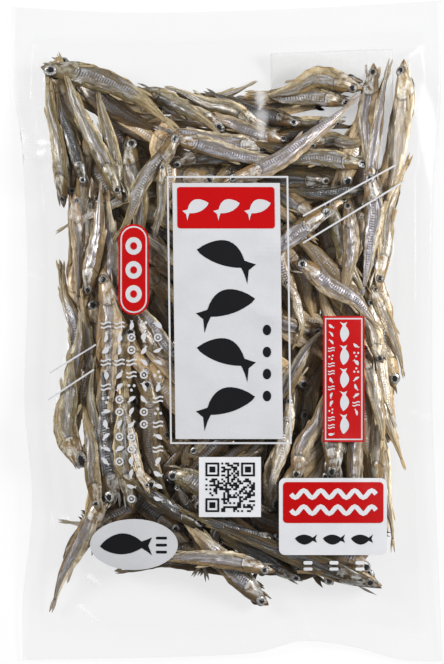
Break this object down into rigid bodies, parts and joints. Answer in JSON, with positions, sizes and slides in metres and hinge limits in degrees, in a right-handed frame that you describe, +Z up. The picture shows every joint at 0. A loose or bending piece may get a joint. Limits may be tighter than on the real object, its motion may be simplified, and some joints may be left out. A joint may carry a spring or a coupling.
{
  "type": "bag of dried anchovies",
  "caption": "Clear sealed plastic bag of whole dried anchovies, lying flat on its back, with a plain printed panel and bars on its front and a paper label on its back.",
  "frame": {"origin": "middle of the base, on the surface that the bag lies on", "axes": "+Z up, out of the printed side; +Y towards the top seal as the printed side is read; +X to its right"},
  "size_m": [0.15, 0.23, 0.0222],
  "materials": {
    "bag_film": "thin clear glossy film, crimped dull at its seals",
    "anchovy_skin": "dried fish skin, silver and lavender on the flanks, olive brown on the back, tan on the belly and tail",
    "anchovy_eye": "dull pale ring round a black pupil",
    "print_white": "opaque white ink on film",
    "print_red": "opaque red ink on film",
    "print_black": "opaque black ink on film",
    "paper_label": "matt white paper"
  },
  "bodies": {
    "root": {"filled_bag": "bag_film"}
  },
  "joints": []
}
